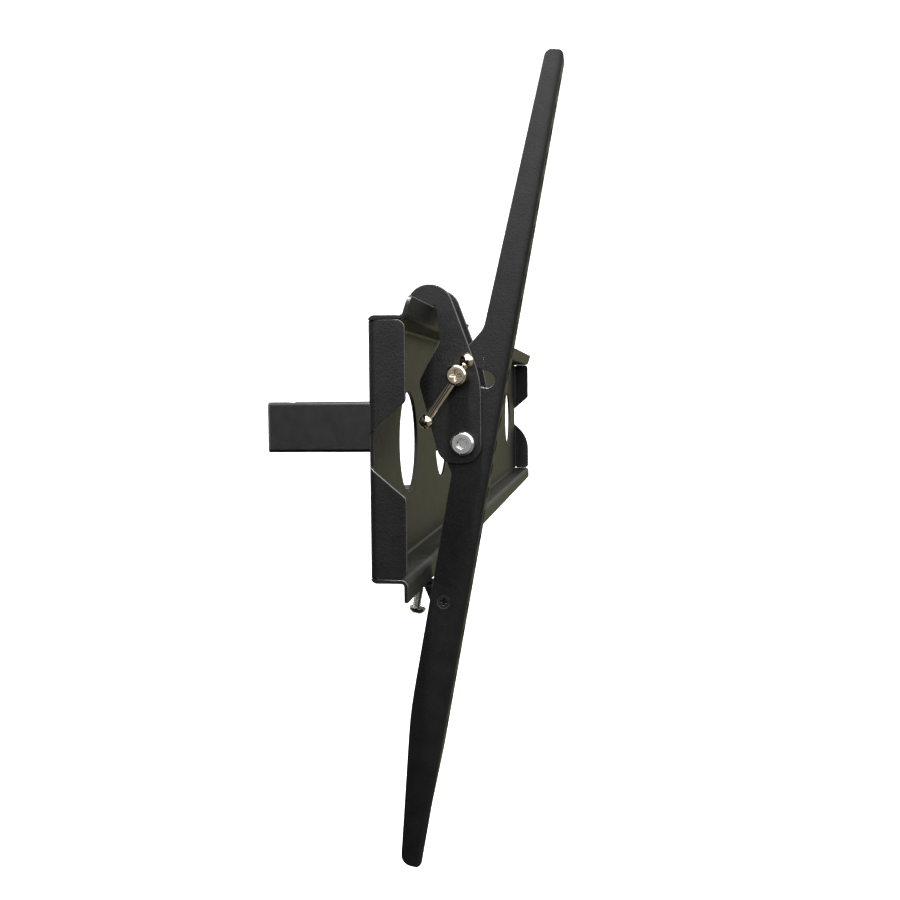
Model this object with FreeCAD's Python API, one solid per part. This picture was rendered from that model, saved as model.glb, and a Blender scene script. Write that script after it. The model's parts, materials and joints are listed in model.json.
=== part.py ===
import FreeCAD, Part
import math
import os
from FreeCAD import Placement, Rotation, Vector

# Swivel wall mount for a flat screen: a short arm carries a wide folded faceplate on a vertical pivot.
# A hook bracket hangs on the faceplate's top lip and holds a tilting screen bracket.
# Frame: +Z up, +Y towards the wall, -Y towards the screen, X along the faceplate.
# The origin is the centre of the pivot bore at the arm's wall end. Sizes are in millimetres.

# Arm
ARM_HEIGHT = 42.0
ARM_WIDTH = 22.0
ARM_WALL = 2.0
ARM_CORNER = 3.0
ARM_END_MARGIN = 19.4
PIVOT_SPAN = 77.0
WALL_BORE = 12.5
WALL_SLEEVE_WALL = 3.0
CAP_FACE = 1.5
CAP_SLEEVE_GAP = 0.8
CAP_CLEARANCE = 0.1

# Swivel joint
POST_LAP = 1.0
POST_HEIGHT = 96.0
SWIVEL_BOLT = 12.0
RUNNING_FIT = 0.05
BUSH_WALL = 3.0
BUSH_LENGTH = 18.0
BUSH_FLANGE = 2.0
SWIVEL_GAP = 0.1
SWIVEL_HEAD_FLATS = 18.0
SWIVEL_HEAD_HEIGHT = 7.5
SWIVEL_NUT_HEIGHT = 12.0
SWIVEL_WASHER_OUTER = 20.0
SWIVEL_WASHER = 2.5
BOLT_END = 3.0

# Yoke behind the faceplate
SWIVEL_TO_WEB = 74.0
YOKE_SHEET = 5.0
YOKE_BEND = 4.0
YOKE_WIDTH = 60.0
YOKE_EAR_RADIUS = 10.5
YOKE_BOLT = 8.0
YOKE_BOLT_SPACING_X = 40.0
YOKE_BOLT_SPACING_Z = 70.0
YOKE_BOLT_HEAD = 18.0
YOKE_BOLT_HEAD_HEIGHT = 4.5
YOKE_NUT_FLATS = 13.0
YOKE_NUT_HEIGHT = 6.5
BOLT_HOLE_CLEARANCE = 0.2

# Faceplate
PLATE_WIDTH = 814.0
PLATE_HEIGHT = 125.0
PLATE_SHEET = 2.0
PLATE_BEND = 1.5
FLANGE_DEPTH = 16.0
LIP_HEIGHT = 8.9
TOP_LIP_LEAN = 19.0
TOP_LIP_CUT = 376.0
TOP_LIP_CORNER = 5.0
TAB_DEPTH = 17.6
TAB_GAP = 0.12
TAB_CORNER = 4.0
TAB_RELIEF_HEIGHT = 0.9
TAB_RELIEF_DEPTH = 4.0
NOTCH_HALF = 7.6
NOTCH_FREE_HALF = 22.6
NOTCH_CORNER = 3.0
FAR_LOW_NOTCH_CORNER = 34.0
HOLE = 55.0
HOLE_PITCH = 124.0
HOLE_COUNT = 6
STIFFENER_HEIGHT = 21.6
STIFFENER_SHEET = 5.0
STIFFENER_LENGTH = 160.0
STIFFENER_GAP = 6.0

# Hook bracket
HOOK_FROM_END = 70.0
HOOK_WIDTH = 33.0
HOOK_SHEET = 2.5
HOOK_CLEARANCE = 0.5
HOOK_SEAT_GAP = 0.2
HOOK_CROWN = 11.8
HOOK_CROWN_OUT = 5.6
HOOK_LEG = 12.5
HOOK_LEG_RISE = 4.0
HOOK_LEG_CORNER = 1.5
HOOK_ARCH_RADIUS = 11.9
HOOK_EYE = 10.6
HOOK_EYE_CORNER = 10.0
HOOK_EYE_FRONT = 9.6
HOOK_EYE_BACK = 11.8
HOOK_SHOULDER_UP = 34.0
HOOK_SHOULDER_RADIUS = 58.0
HOOK_BULGE_OUT = 23.1
HOOK_BULGE_UP = 32.3
HOOK_BULGE_RADIUS = 6.4
HOOK_WAIST_DOWN = 9.0
HOOK_WAIST_IN = 1.7
HOOK_WAIST_RADIUS = 4.2
HOOK_WEB_LOW = 10.0
HOOK_WEB_HIGH = 22.0
TILT_PIVOT_OUT = 35.3
TILT_BOLT = 8.0
TILT_HEAD = 12.6
TILT_HEAD_HEIGHT = 5.0
TILT_SOCKET_FLATS = 5.0
TILT_SOCKET_DEPTH = 3.0
TILT_NUT_FLATS = 13.0
TILT_NUT_HEIGHT = 8.0
TILT_WASHER_OUTER = 16.0
TILT_WASHER = 1.6
FRICTION_WASHER_OUTER = 19.0
FRICTION_WASHER = 1.0
SPACER_OUTER = 14.0
FACE_GAP = 0.05

# Screen bracket
SCREEN_SHEET = 2.5
SCREEN_BEND = 1.0
REST_TILT = 10.4
SCREEN_FACE_OUT = 16.2
SCREEN_TOP = 207.2
SCREEN_BOTTOM = 230.0
SCREEN_TOP_WIDTH = 9.5
SCREEN_NECK_WIDTH = 16.3
SCREEN_NECK_UP = 61.0
SCREEN_LOWER_WIDTH = 19.9
SCREEN_TAPER_DOWN = 147.0
SCREEN_END_WIDTH = 11.0
SCREEN_TAPER_RADIUS = 230.0
SCREEN_EAR_OUT = 17.2
SCREEN_EAR_DOWN = 2.0
SCREEN_CORNER = 2.5
SCREEN_FLANGE = 16.0
FLANGE_END_DOWN = 165.0
FLANGE_RUNOUT = 30.0
SLOT_WIDTH = 6.6
SLOT_LENGTH = 9.0
SLOT_PITCH = 12.7
SLOT_LINE = 9.0
SLOT_TOP_MARGIN = 16.7
SLOT_END_MARGIN = 10.0
ARC_SLOT_WIDTH = 8.8
ARC_SLOT_SCREEN_SIDE = 20.0
ARC_SLOT_WALL_SIDE = 5.2

# Clamp screw with its sliding bar
CLAMP_RADIUS = 35.4
CLAMP_LEAN = 2.7
CLAMP_BOLT = 6.0
CLAMP_HEAD = 10.6
CLAMP_HEAD_LENGTH = 14.0
CLAMP_HEAD_GAP = 0.3
CLAMP_HOLE_CLEARANCE = 0.3
CLAMP_NUT_FLATS = 10.0
CLAMP_NUT_HEIGHT = 5.0
CROSS_LENGTH = 5.6
CROSS_WIDTH = 1.2
CROSS_DEPTH = 1.6
BAR = 4.4
BAR_FIT = 0.08
BAR_BALL = 7.4
BAR_LENGTH = 38.0
BAR_STOP_GAP = 0.25
BAR_HEIGHT = 9.0
BAR_LEAN = 34.9

# Safety clip and its screw
CLIP_SHEET = 2.0
CLIP_BEND = 1.0
CLIP_UNDER_LIP = 5.0
CLIP_LEG = 19.0
CLIP_TAB = 13.0
CLIP_TAB_PAST = 5.5
CLIP_SCREW_UP = 8.5
CLIP_LEG_INSET = 2.0
CLIP_GUSSET_OUT = 4.5
CLIP_GUSSET_DROP = 13.0
CLIP_SCREW = 3.5
CLIP_SCREW_HEAD = 6.6
CLIP_NUT_FLATS = 6.0
CLIP_NUT_HEIGHT = 3.0
CLIP_CROSS_LENGTH = 3.8
SECURITY_SCREW = 5.0
SECURITY_HEAD = 9.0
SECURITY_HEAD_HEIGHT = 3.4
SECURITY_REACH = 15.6
SECURITY_TIP = 1.0
SECURITY_PAST_EDGE = 6.8

# Places worked out from the sizes above
AXIS_X = Vector(1, 0, 0)
AXIS_Y = Vector(0, 1, 0)
AXIS_Z = Vector(0, 0, 1)
SWIVEL_Y = -PIVOT_SPAN
POST_OUTER = ARM_WIDTH + 2 * POST_LAP
BUSH_BORE = SWIVEL_BOLT + 2 * RUNNING_FIT
BUSH_OUTER = BUSH_BORE + 2 * BUSH_WALL
EAR_INNER = POST_HEIGHT / 2 + BUSH_FLANGE + SWIVEL_GAP
EAR_OUTER = EAR_INNER + YOKE_SHEET
WEB_BACK = SWIVEL_Y - SWIVEL_TO_WEB
WEB_FRONT = WEB_BACK - PLATE_SHEET
HALF_WIDTH = PLATE_WIDTH / 2
HALF_HEIGHT = PLATE_HEIGHT / 2
LIP_BACK = WEB_BACK - FLANGE_DEPTH
LIP_RUN = LIP_HEIGHT * math.tan(math.radians(TOP_LIP_LEAN))
LIP_TOP = HALF_HEIGHT + LIP_HEIGHT
LIP_PEAK = LIP_TOP + PLATE_SHEET / 2 * math.sin(math.radians(TOP_LIP_LEAN))
LIP_TOP_BACK = LIP_BACK - LIP_RUN
LIP_TOP_FRONT = LIP_TOP_BACK - PLATE_SHEET / math.cos(math.radians(TOP_LIP_LEAN))
HOOK_NEAR = -HALF_WIDTH + HOOK_FROM_END
HOOK_FAR = HOOK_NEAR + HOOK_WIDTH
HOOK_NEAR_IN = HOOK_NEAR + HOOK_SHEET
HOOK_FAR_IN = HOOK_FAR - HOOK_SHEET
PIVOT_Y = WEB_BACK - TILT_PIVOT_OUT
SIDE_NEAR = HOOK_NEAR_IN + FRICTION_WASHER + 2 * FACE_GAP
SIDE_FAR = SIDE_NEAR + SCREEN_SHEET
SCREEN_FACE = PIVOT_Y - SCREEN_FACE_OUT
SCREEN_BACK_EDGE = SCREEN_FACE + SCREEN_LOWER_WIDTH
CLIP_DOWN = LIP_TOP + CLIP_UNDER_LIP
CLAMP_Y = PIVOT_Y + CLAMP_RADIUS * math.sin(math.radians(CLAMP_LEAN))
CLAMP_Z = CLAMP_RADIUS * math.cos(math.radians(CLAMP_LEAN))
BAR_X = HOOK_NEAR - BAR_HEIGHT
BAR_UP = Vector(0, -math.sin(math.radians(BAR_LEAN)), math.cos(math.radians(BAR_LEAN)))
BAR_STOP = (CLAMP_HEAD + BAR_BALL) / 2 + BAR_STOP_GAP


# Shared shapes
def in_yz(x):
    """Map a flat outline's (u, v) to (y, z) at one x."""
    return lambda point: Vector(x, point.x, point.y)


def in_xy(z):
    """Map a flat outline's (u, v) to (x, y) at one z."""
    return lambda point: Vector(point.x, point.y, z)


def in_xz(y):
    """Map a flat outline's (u, v) to (x, z) at one y."""
    return lambda point: Vector(point.x, y, point.y)


def unit(vector):
    return vector * (1.0 / vector.Length)


def rounded_face(points, place):
    """A closed outline from (u, v, radius) corners, as a face."""
    count = len(points)
    corners = []
    for index, (u, v, radius) in enumerate(points):
        corner = Vector(u, v, 0)
        before = unit(Vector(*points[index - 1][:2], 0) - corner)
        after = unit(Vector(*points[(index + 1) % count][:2], 0) - corner)
        if radius == 0:
            corners.append((corner, None, corner))
            continue
        half = before.getAngle(after) / 2
        reach = radius / math.tan(half)
        middle = corner + unit(before + after) * (radius / math.sin(half) - radius)
        corners.append((corner + before * reach, middle, corner + after * reach))
    edges = []
    for index, (start, middle, end) in enumerate(corners):
        if middle is not None:
            edges.append(Part.Arc(place(start), place(middle), place(end)).toShape())
        following = corners[(index + 1) % count][0]
        if (following - end).Length > 1e-6:
            edges.append(Part.makeLine(place(end), place(following)))
    return Part.Face(Part.Wire(edges))


def folded_face(points, sheet, bend, place):
    """The section of a folded sheet whose middle line runs through the points, as a face."""
    middle_radius = bend + sheet / 2
    flat = [Vector(u, v, 0) for u, v in points]
    left, right = [], []

    def add_line(start, end):
        along = unit(end - start)
        aside = Vector(-along.y, along.x, 0) * (sheet / 2)
        left.append(Part.makeLine(place(start + aside), place(end + aside)))
        right.append(Part.makeLine(place(start - aside), place(end - aside)))

    here = flat[0]
    for before, corner, after in zip(flat, flat[1:], flat[2:]):
        into = unit(corner - before)
        out = unit(after - corner)
        turn = into.x * out.y - into.y * out.x
        angle = into.getAngle(out)
        reach = middle_radius * math.tan(angle / 2)
        start = corner - into * reach
        end = corner + out * reach
        side = 1 if turn > 0 else -1
        centre = start + Vector(-into.y, into.x, 0) * (side * middle_radius)
        towards = unit(corner - centre)
        add_line(here, start)
        for chain, radius in ((left, middle_radius - side * sheet / 2), (right, middle_radius + side * sheet / 2)):
            ends = [centre + unit(point - centre) * radius for point in (start, end)]
            arc = Part.Arc(place(ends[0]), place(centre + towards * radius), place(ends[1]))
            chain.append(arc.toShape())
        here = end
    add_line(here, flat[-1])
    caps = [
        Part.makeLine(left[0].Vertexes[0].Point, right[0].Vertexes[0].Point),
        Part.makeLine(left[-1].Vertexes[-1].Point, right[-1].Vertexes[-1].Point),
    ]
    ordered = Part.sortEdges(left + right + caps)[0]
    return Part.Face(Part.Wire(ordered))


def rod(diameter, start, direction, length):
    return Part.makeCylinder(diameter / 2, length, start, direction)


def tube(outer, inner, start, direction, length):
    return rod(outer, start, direction, length).cut(rod(inner, start, direction, length))


def turned(profile, start, direction):
    """A body of revolution from (radius, height) corners, standing on start."""
    corners = [Vector(radius, 0, height) for radius, height in profile]
    face = Part.Face(Part.makePolygon(corners + corners[:1]))
    body = face.revolve(Vector(0, 0, 0), AXIS_Z, 360)
    body.Placement = Placement(start, Rotation(AXIS_Z, direction))
    return body


def hexagon(flats, start, direction, length):
    reach = flats / math.sqrt(3)
    corners = [Vector(reach, 0, 0)]
    for step in range(1, 6):
        corners.append(Vector(reach * math.cos(step * math.pi / 3), reach * math.sin(step * math.pi / 3), 0))
    body = Part.Face(Part.makePolygon(corners + corners[:1])).extrude(AXIS_Z * length)
    body.Placement = Placement(start, Rotation(AXIS_Z, direction))
    return body


def hexagon_nut(flats, bore, start, direction, length):
    """A nut with its corners chamfered on both faces."""
    chamfer = flats * 0.06
    corner = flats / math.sqrt(3)
    round_edge = turned(
        [
            (0, 0),
            (corner - chamfer, 0),
            (corner, chamfer),
            (corner, length - chamfer),
            (corner - chamfer, length),
            (0, length),
        ],
        start,
        direction,
    )
    return hexagon(flats, start, direction, length).common(round_edge).cut(rod(bore, start, direction, length))


def cross_recess(centre, direction, length):
    """Two crossed blades that cut a driver recess, lying along X before turning."""
    blades = []
    for long_side, short_side in ((length, CROSS_WIDTH), (CROSS_WIDTH, length)):
        blade = Part.makeBox(long_side, short_side, CROSS_DEPTH, Vector(-long_side / 2, -short_side / 2, 0))
        blades.append(blade)
    body = blades[0].fuse(blades[1]).removeSplitter()
    body.Placement = Placement(centre, Rotation(AXIS_Z, direction))
    return body


def tilted(shape):
    """Lean a piece of the screen bracket from upright to its resting tilt."""
    leaning = shape.copy()
    leaning.rotate(Vector(0, PIVOT_Y, 0), AXIS_X, REST_TILT)
    return leaning


# Arm
def rounded_box_section(width, height, corner, y):
    outline = [
        (-width / 2, -height / 2, corner),
        (width / 2, -height / 2, corner),
        (width / 2, height / 2, corner),
        (-width / 2, height / 2, corner),
    ]
    return rounded_face(outline, in_xz(y))


def arm_tube():
    end = ARM_END_MARGIN - CAP_FACE
    length = end - SWIVEL_Y
    outer = rounded_box_section(ARM_WIDTH, ARM_HEIGHT, ARM_CORNER, SWIVEL_Y).extrude(AXIS_Y * length)
    inside = rounded_box_section(
        ARM_WIDTH - 2 * ARM_WALL, ARM_HEIGHT - 2 * ARM_WALL, ARM_CORNER - ARM_WALL, SWIVEL_Y
    ).extrude(AXIS_Y * length)
    sleeve_outer = WALL_BORE + 2 * WALL_SLEEVE_WALL
    sleeve_hole = rod(sleeve_outer, Vector(0, 0, -ARM_HEIGHT), AXIS_Z, 2 * ARM_HEIGHT)
    post_cope = rod(POST_OUTER, Vector(0, SWIVEL_Y, -POST_HEIGHT), AXIS_Z, 2 * POST_HEIGHT)
    return outer.cut(inside).cut(sleeve_hole).cut(post_cope)


def wall_pivot_sleeve():
    outer = WALL_BORE + 2 * WALL_SLEEVE_WALL
    return tube(outer, WALL_BORE, Vector(0, 0, -ARM_HEIGHT / 2), AXIS_Z, ARM_HEIGHT)


def arm_end_cap():
    face = rounded_box_section(ARM_WIDTH, ARM_HEIGHT, ARM_CORNER, ARM_END_MARGIN - CAP_FACE)
    plug_width = ARM_WIDTH - 2 * (ARM_WALL + CAP_CLEARANCE)
    plug_height = ARM_HEIGHT - 2 * (ARM_WALL + CAP_CLEARANCE)
    plug_start = WALL_BORE / 2 + WALL_SLEEVE_WALL + CAP_SLEEVE_GAP
    plug_length = ARM_END_MARGIN - CAP_FACE - plug_start
    plug = rounded_box_section(plug_width, plug_height, ARM_CORNER - ARM_WALL, plug_start)
    hollow = rounded_box_section(
        plug_width - 2 * ARM_WALL, plug_height - 2 * ARM_WALL, ARM_CORNER - ARM_WALL, plug_start
    )
    shell = plug.extrude(AXIS_Y * plug_length).cut(hollow.extrude(AXIS_Y * plug_length))
    return face.extrude(AXIS_Y * CAP_FACE).fuse(shell).removeSplitter()


def swivel_post():
    return tube(POST_OUTER, BUSH_OUTER, Vector(0, SWIVEL_Y, -POST_HEIGHT / 2), AXIS_Z, POST_HEIGHT)


def swivel_bush(up):
    direction = AXIS_Z * up
    seat = Vector(0, SWIVEL_Y, up * POST_HEIGHT / 2)
    profile = [
        (BUSH_BORE / 2, -BUSH_LENGTH),
        (BUSH_OUTER / 2, -BUSH_LENGTH),
        (BUSH_OUTER / 2, 0),
        (POST_OUTER / 2, 0),
        (POST_OUTER / 2, BUSH_FLANGE),
        (BUSH_BORE / 2, BUSH_FLANGE),
    ]
    return turned(profile, seat, direction)


# Yoke and swivel bolt
def yoke_bolt_places():
    places = []
    for x in (-YOKE_BOLT_SPACING_X / 2, YOKE_BOLT_SPACING_X / 2):
        for z in (-YOKE_BOLT_SPACING_Z / 2, YOKE_BOLT_SPACING_Z / 2):
            places.append((x, z))
    return places


def swivel_yoke():
    ear_end = SWIVEL_Y + YOKE_EAR_RADIUS
    ear_middle = EAR_INNER + YOKE_SHEET / 2
    base_middle = WEB_BACK + YOKE_SHEET / 2
    section = folded_face(
        [(ear_end, ear_middle), (base_middle, ear_middle), (base_middle, -ear_middle), (ear_end, -ear_middle)],
        YOKE_SHEET,
        YOKE_BEND,
        in_yz(-YOKE_WIDTH / 2),
    )
    body = section.extrude(AXIS_X * YOKE_WIDTH)
    base_depth = YOKE_SHEET + YOKE_BEND
    half = YOKE_WIDTH / 2
    plan = [
        (-half, WEB_BACK, 0),
        (half, WEB_BACK, 0),
        (half, WEB_BACK + base_depth, 0),
        (YOKE_EAR_RADIUS, ear_end, YOKE_EAR_RADIUS * 0.9),
        (-YOKE_EAR_RADIUS, ear_end, YOKE_EAR_RADIUS * 0.9),
        (-half, WEB_BACK + base_depth, 0),
    ]
    body = body.common(rounded_face(plan, in_xy(-EAR_OUTER)).extrude(AXIS_Z * 2 * EAR_OUTER))
    body = body.cut(rod(SWIVEL_BOLT, Vector(0, SWIVEL_Y, -EAR_OUTER), AXIS_Z, 2 * EAR_OUTER))
    for x, z in yoke_bolt_places():
        hole = YOKE_BOLT + 2 * BOLT_HOLE_CLEARANCE
        body = body.cut(rod(hole, Vector(x, WEB_BACK, z), AXIS_Y, YOKE_SHEET))
    return body


def yoke_bolts():
    length = PLATE_SHEET + YOKE_SHEET + YOKE_NUT_HEIGHT + BOLT_END
    head = YOKE_BOLT_HEAD / 2
    shank = YOKE_BOLT / 2
    crown = YOKE_BOLT_HEAD_HEIGHT
    profile = [
        (0, -crown),
        (head * 0.45, -crown * 0.93),
        (head * 0.8, -crown * 0.62),
        (head, 0),
        (shank, 0),
        (shank, length),
        (0, length),
    ]
    return Part.makeCompound([turned(profile, Vector(x, WEB_FRONT, z), AXIS_Y) for x, z in yoke_bolt_places()])


def yoke_nuts():
    seat = WEB_BACK + YOKE_SHEET
    nuts = []
    for x, z in yoke_bolt_places():
        nuts.append(hexagon_nut(YOKE_NUT_FLATS, YOKE_BOLT, Vector(x, seat, z), AXIS_Y, YOKE_NUT_HEIGHT))
    return Part.makeCompound(nuts)


def swivel_bolt():
    under_head = EAR_OUTER + SWIVEL_WASHER
    low_end = -(EAR_OUTER + SWIVEL_WASHER + SWIVEL_NUT_HEIGHT + BOLT_END)
    shank = rod(SWIVEL_BOLT, Vector(0, SWIVEL_Y, low_end), AXIS_Z, under_head - low_end)
    head = hexagon_nut(SWIVEL_HEAD_FLATS, SWIVEL_BOLT, Vector(0, SWIVEL_Y, under_head), AXIS_Z, SWIVEL_HEAD_HEIGHT)
    core = rod(SWIVEL_BOLT, Vector(0, SWIVEL_Y, under_head), AXIS_Z, SWIVEL_HEAD_HEIGHT)
    return shank.fuse([head, core]).removeSplitter()


def swivel_washers():
    top = tube(SWIVEL_WASHER_OUTER, SWIVEL_BOLT, Vector(0, SWIVEL_Y, EAR_OUTER), AXIS_Z, SWIVEL_WASHER)
    low = tube(
        SWIVEL_WASHER_OUTER, SWIVEL_BOLT, Vector(0, SWIVEL_Y, -EAR_OUTER - SWIVEL_WASHER), AXIS_Z, SWIVEL_WASHER
    )
    return Part.makeCompound([top, low])


def swivel_nut():
    top = Vector(0, SWIVEL_Y, -EAR_OUTER - SWIVEL_WASHER)
    return hexagon_nut(SWIVEL_HEAD_FLATS, SWIVEL_BOLT, top, -AXIS_Z, SWIVEL_NUT_HEIGHT)


# Faceplate: web with two flanges and lips, and two folded tabs at each end
def tab_outline(up, notch_corner, x):
    """One end tab, above or below the notch, in the plane of the fold, relieved where the fold meets the flange."""
    free = WEB_BACK - TAB_DEPTH
    far = HALF_HEIGHT - PLATE_SHEET - TAB_GAP
    relief = WEB_BACK - TAB_RELIEF_DEPTH
    corners = [
        (WEB_BACK, up * NOTCH_HALF, 0),
        (free, up * NOTCH_FREE_HALF, notch_corner),
        (free, up * far, TAB_CORNER),
        (relief, up * far, 0),
        (relief, up * (far - TAB_RELIEF_HEIGHT), 0),
        (WEB_BACK, up * (far - TAB_RELIEF_HEIGHT), 0),
    ]
    return rounded_face(corners, in_yz(x))


def faceplate():
    inset = PLATE_SHEET / 2
    web_middle = WEB_BACK - inset
    flange_middle = HALF_HEIGHT - inset
    lip_middle = LIP_BACK - inset
    section = folded_face(
        [
            (lip_middle - LIP_RUN, LIP_TOP),
            (lip_middle, flange_middle),
            (web_middle, flange_middle),
            (web_middle, -flange_middle),
            (lip_middle, -flange_middle),
            (lip_middle, -LIP_TOP),
        ],
        PLATE_SHEET,
        PLATE_BEND,
        in_yz(-HALF_WIDTH),
    )
    body = section.extrude(AXIS_X * PLATE_WIDTH)
    lip_fold = LIP_BACK + PLATE_BEND
    lip_cut = Vector(-TOP_LIP_CUT / 2, LIP_TOP_FRONT, HALF_HEIGHT - PLATE_SHEET)
    body = body.cut(Part.makeBox(TOP_LIP_CUT, lip_fold - LIP_TOP_FRONT, LIP_PEAK - lip_cut.z, lip_cut))
    lip_outline = [
        (-HALF_WIDTH, -LIP_TOP, 0),
        (HALF_WIDTH, -LIP_TOP, 0),
        (HALF_WIDTH, LIP_PEAK, TOP_LIP_CORNER),
        (-HALF_WIDTH, LIP_PEAK, TOP_LIP_CORNER),
    ]
    depth = WEB_BACK - LIP_TOP_FRONT
    body = body.common(rounded_face(lip_outline, in_xz(LIP_TOP_FRONT)).extrude(AXIS_Y * depth))
    tab_height = HALF_HEIGHT - PLATE_SHEET - TAB_GAP
    fold_room = PLATE_SHEET + PLATE_BEND
    for end in (-1, 1):
        corner = Vector(min(end * HALF_WIDTH, end * (HALF_WIDTH - fold_room)), WEB_BACK - TAB_DEPTH, -tab_height)
        body = body.cut(Part.makeBox(fold_room, TAB_DEPTH, 2 * tab_height, corner))
    end_middle = HALF_WIDTH - inset
    tab_end = WEB_BACK - TAB_DEPTH
    ends = folded_face(
        [(-end_middle, tab_end), (-end_middle, web_middle), (end_middle, web_middle), (end_middle, tab_end)],
        PLATE_SHEET,
        PLATE_BEND,
        in_xy(-tab_height),
    ).extrude(AXIS_Z * 2 * tab_height)
    straight = HALF_WIDTH - fold_room
    keep = Part.makeBox(2 * straight, fold_room, 2 * tab_height, Vector(-straight, WEB_BACK - fold_room, -tab_height))
    tabs = []
    for x, low_corner in ((-HALF_WIDTH, NOTCH_CORNER), (straight, FAR_LOW_NOTCH_CORNER)):
        for up, notch_corner in ((1, NOTCH_CORNER), (-1, low_corner)):
            tabs.append(tab_outline(up, notch_corner, x).extrude(AXIS_X * fold_room))
    ends = ends.common(keep.fuse(tabs))
    body = body.fuse(ends).removeSplitter()
    first = -(HOLE_COUNT - 1) / 2 * HOLE_PITCH
    for index in range(HOLE_COUNT):
        centre = Vector(first + index * HOLE_PITCH, WEB_FRONT, 0)
        body = body.cut(rod(HOLE, centre, AXIS_Y, PLATE_SHEET))
    for x, z in yoke_bolt_places():
        hole = YOKE_BOLT + 2 * BOLT_HOLE_CLEARANCE
        body = body.cut(rod(hole, Vector(x, WEB_FRONT, z), AXIS_Y, PLATE_SHEET))
    return body


def rear_stiffener(side):
    inner = YOKE_WIDTH / 2 + STIFFENER_GAP
    start = inner if side > 0 else -inner - STIFFENER_LENGTH
    corner = Vector(start, WEB_BACK, -STIFFENER_HEIGHT / 2)
    bar = Part.makeBox(STIFFENER_LENGTH, STIFFENER_SHEET, STIFFENER_HEIGHT, corner)
    long_edges = [edge for edge in bar.Edges if edge.BoundBox.XLength > STIFFENER_LENGTH / 2]
    outer_edges = [edge for edge in long_edges if edge.CenterOfMass.y > WEB_BACK + STIFFENER_SHEET / 2]
    return bar.makeFillet(STIFFENER_SHEET * 0.3, outer_edges)


# Hook bracket: a folded channel whose two plates hook over the top lip
def hook_outline(x):
    eye_front = PIVOT_Y - HOOK_EYE_FRONT
    crown = LIP_TOP + HOOK_CROWN
    slot_top = LIP_PEAK + HOOK_SEAT_GAP
    leg_out = LIP_TOP_BACK + HOOK_LEG + HOOK_CLEARANCE
    leg_low = HALF_HEIGHT + HOOK_LEG_RISE
    slot_front = LIP_TOP_FRONT - HOOK_CLEARANCE
    waist_up = HALF_HEIGHT - HOOK_WAIST_DOWN
    corners = [
        (leg_out, leg_low, HOOK_LEG_CORNER),
        (leg_out, crown, HOOK_ARCH_RADIUS),
        (LIP_TOP_FRONT - HOOK_CROWN_OUT, crown, HOOK_ARCH_RADIUS),
        (eye_front, HOOK_SHOULDER_UP, HOOK_SHOULDER_RADIUS),
        (eye_front, -HOOK_EYE, HOOK_EYE_CORNER),
        (PIVOT_Y + HOOK_EYE_BACK, -HOOK_EYE, HOOK_EYE_CORNER),
        (PIVOT_Y + HOOK_BULGE_OUT, HOOK_BULGE_UP, HOOK_BULGE_RADIUS),
        (slot_front - HOOK_WAIST_IN, waist_up, HOOK_WAIST_RADIUS),
        (slot_front, slot_top, HOOK_CLEARANCE),
        (LIP_TOP_BACK + HOOK_CLEARANCE, slot_top, HOOK_CLEARANCE),
        (LIP_BACK + HOOK_CLEARANCE, leg_low, HOOK_CLEARANCE),
    ]
    return rounded_face(corners, in_yz(x))


def hook_web():
    """The fold that joins the two plates along the lower part of their wall side edge."""
    low = Vector(PIVOT_Y + HOOK_EYE_BACK, -HOOK_EYE, 0)
    high = Vector(PIVOT_Y + HOOK_BULGE_OUT, HOOK_BULGE_UP, 0)
    along = unit(high - low)
    inward = Vector(-along.y, along.x, 0)
    start = low + along * ((HOOK_WEB_LOW - low.y) / along.y)
    end = low + along * ((HOOK_WEB_HIGH - low.y) / along.y)
    corners = [start, end, end + inward * HOOK_SHEET, start + inward * HOOK_SHEET]
    outline = [(corner.x, corner.y, 0) for corner in corners]
    return rounded_face(outline, in_yz(HOOK_NEAR)).extrude(AXIS_X * HOOK_WIDTH)


def hook_bracket():
    near = hook_outline(HOOK_NEAR).extrude(AXIS_X * HOOK_SHEET)
    far = hook_outline(HOOK_FAR_IN).extrude(AXIS_X * HOOK_SHEET)
    body = near.fuse([far, hook_web()]).removeSplitter()
    tilt_hole = TILT_BOLT + 2 * RUNNING_FIT
    body = body.cut(rod(tilt_hole, Vector(HOOK_NEAR, PIVOT_Y, 0), AXIS_X, HOOK_WIDTH))
    clamp_hole = CLAMP_BOLT + 2 * CLAMP_HOLE_CLEARANCE
    return body.cut(rod(clamp_hole, Vector(HOOK_NEAR, CLAMP_Y, CLAMP_Z), AXIS_X, HOOK_WIDTH))


def tilt_pivot_bolt():
    head = TILT_HEAD / 2
    shank = TILT_BOLT / 2
    length = HOOK_WIDTH + TILT_WASHER + TILT_NUT_HEIGHT + BOLT_END
    edge = TILT_HEAD_HEIGHT * 0.2
    profile = [
        (0, -TILT_HEAD_HEIGHT),
        (head - edge, -TILT_HEAD_HEIGHT),
        (head, -TILT_HEAD_HEIGHT + edge),
        (head, 0),
        (shank, 0),
        (shank, length),
        (0, length),
    ]
    seat = Vector(HOOK_NEAR, PIVOT_Y, 0)
    socket = hexagon(TILT_SOCKET_FLATS, seat - AXIS_X * TILT_HEAD_HEIGHT, AXIS_X, TILT_SOCKET_DEPTH)
    return turned(profile, seat, AXIS_X).cut(socket)


def pivot_nut_washer():
    return tube(TILT_WASHER_OUTER, TILT_BOLT, Vector(HOOK_FAR, PIVOT_Y, 0), AXIS_X, TILT_WASHER)


def pivot_nut():
    seat = Vector(HOOK_FAR + TILT_WASHER, PIVOT_Y, 0)
    return hexagon_nut(TILT_NUT_FLATS, TILT_BOLT, seat, AXIS_X, TILT_NUT_HEIGHT)


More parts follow.
